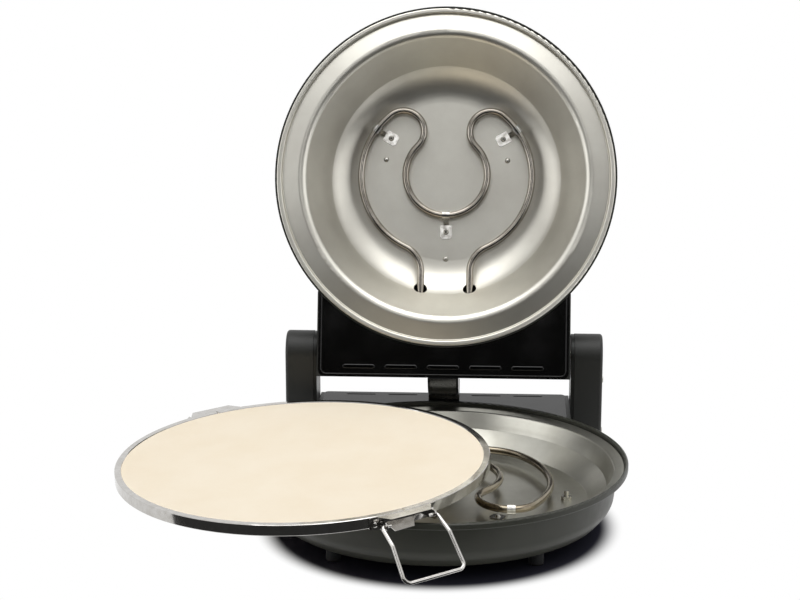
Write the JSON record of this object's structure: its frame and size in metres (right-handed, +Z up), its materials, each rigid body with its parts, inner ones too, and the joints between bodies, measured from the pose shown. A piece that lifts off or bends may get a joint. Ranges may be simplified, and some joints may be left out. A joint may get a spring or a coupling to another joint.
{
  "type": "electric_pizza_maker",
  "caption": "Countertop electric pizza maker: round bowl and domed lid with heating elements, joined by a rear hinge, and a baking stone in a steel ring with wire handles that lifts off.",
  "frame": {"origin": "Centre of the round bowl, on the surface that the feet stand on.", "axes": "+Z up, +X to the right as seen from the front, +Y to the rear, where the hinge is."},
  "size_m": [0.4396, 0.5337, 0.4278],
  "materials": {
    "black_enamel": "satin",
    "gloss_black_steel": "gloss",
    "satin_steel": "satin",
    "element_steel": "satin",
    "polished_steel": "polished",
    "black_plastic": "matte",
    "dial_plastic": "satin",
    "lamp_plastic": "gloss",
    "foot_rubber": "matte",
    "hinge_steel": "satin",
    "bush_plastic": "matte",
    "element_ceramic": "matte",
    "cordierite": "matte"
  },
  "bodies": {
    "base": {"base_shell": "black_enamel", "base_liner": "satin_steel", "lower_element": "element_steel", "lower_element_clips": "satin_steel", "lower_clip_rivets": "satin_steel", "liner_stud_nuts": "hinge_steel", "element_terminals": "element_ceramic", "rear_housing": "black_plastic", "base_louvre_plate": "gloss_black_steel", "cable_block": "black_plastic", "arm_cover_left": "black_plastic", "arm_cover_right": "black_plastic", "hinge_bracket_left": "hinge_steel", "hinge_bracket_right": "hinge_steel", "hinge_pins": "hinge_steel", "feet": "foot_rubber", "mains_inlet": "black_plastic", "terminal_block": "bush_plastic"},
    "lid": {"lid_shell": "black_enamel", "lid_reflector": "satin_steel", "upper_element": "element_steel", "upper_element_clips": "satin_steel", "upper_clip_rivets": "satin_steel", "reflector_rivets": "satin_steel", "lid_hinge_box": "black_plastic", "lid_louvre_plate": "gloss_black_steel", "cable_drum": "black_plastic", "hinge_bushes": "bush_plastic", "lid_handle_posts": "black_plastic", "lid_handle_grip": "black_plastic", "dial_plate": "dial_plastic", "thermostat_body": "bush_plastic", "pilot_lamp": "lamp_plastic"},
    "knob": {"thermostat_knob": "black_plastic", "thermostat_shaft": "hinge_steel"},
    "tray": {"baking_stone": "cordierite", "tray_ring": "polished_steel", "handle_bracket_front": "polished_steel", "handle_bracket_rear": "polished_steel", "bracket_rivets": "polished_steel"},
    "handle_front": {"wire_handle_front": "polished_steel"},
    "handle_rear": {"wire_handle_rear": "polished_steel"}
  },
  "joints": [
    {"name": "lid_hinge", "type": "hinge", "parent": "base", "child": "lid", "pos_m": [0, 0.1643, 0.1081], "axis": [-1, 0, 0], "range_deg": [-104.5, 0]},
    {"name": "tray_lift", "type": "slide", "parent": "base", "child": "tray", "axis": [0, 0, 1], "range_m": [0, 0.2]},
    {"name": "handle_front_fold", "type": "hinge", "parent": "tray", "child": "handle_front", "pos_m": [-0.01735, -0.17694, 0.06786], "axis": [-0.8126, -0.582, -0.0297], "range_deg": [0, 110]},
    {"name": "handle_rear_fold", "type": "hinge", "parent": "tray", "child": "handle_rear", "pos_m": [-0.21161, 0.09449, 0.06413], "axis": [0.8126, 0.582, 0.0297], "range_deg": [0, 110]},
    {"name": "thermostat_turn", "type": "hinge", "parent": "lid", "child": "knob", "pos_m": [0, 0.25773, 0.32031], "axis": [0, 0.9558, -0.294], "range_deg": [-270, 0]}
  ]
}
